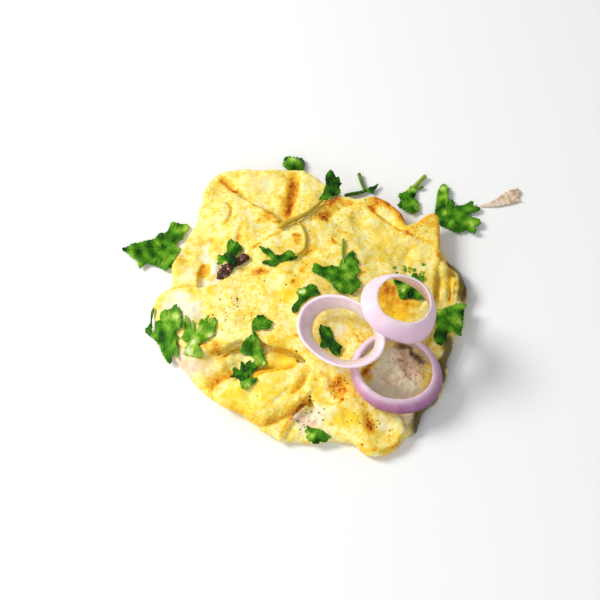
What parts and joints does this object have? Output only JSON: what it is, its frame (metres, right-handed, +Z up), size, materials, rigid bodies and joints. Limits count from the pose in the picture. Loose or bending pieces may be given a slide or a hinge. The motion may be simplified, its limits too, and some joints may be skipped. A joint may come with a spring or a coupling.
{
  "type": "folded omelette",
  "caption": "Soft folded omelette, toasted in places, with rings of red onion stacked on its right side and coriander leaves scattered over and beside it.",
  "frame": {"origin": "middle of the flat underside the omelette lies on", "axes": "+Z up, +X towards the omelette's right side seen from the camera, +Y towards its back"},
  "size_m": [0.224, 0.1874, 0.0486],
  "materials": {
    "egg": "soft, slightly moist",
    "scorched_onion": "charred and uneven",
    "pale_sliver": "dry and papery",
    "onion": "moist and slightly translucent",
    "coriander": "waxy leaf"
  },
  "bodies": {
    "root": {"omelette": "egg", "scorched_onion": "scorched_onion", "coriander_left": "coriander", "coriander_back": "coriander", "coriander_stalks": "coriander", "coriander_back_right": "coriander", "coriander_far_right": "coriander", "pale_sliver": "pale_sliver", "coriander_corner": "coriander", "coriander_middle": "coriander", "coriander_by_ring": "coriander", "coriander_under_ring": "coriander", "coriander_in_ring": "coriander", "coriander_right": "coriander", "coriander_left_edge": "coriander", "coriander_pale": "coriander", "coriander_chain": "coriander", "coriander_front": "coriander", "coriander_sprig": "coriander", "onion_ring_front": "onion", "onion_ring_left": "onion", "onion_ring_right": "onion"}
  },
  "joints": []
}
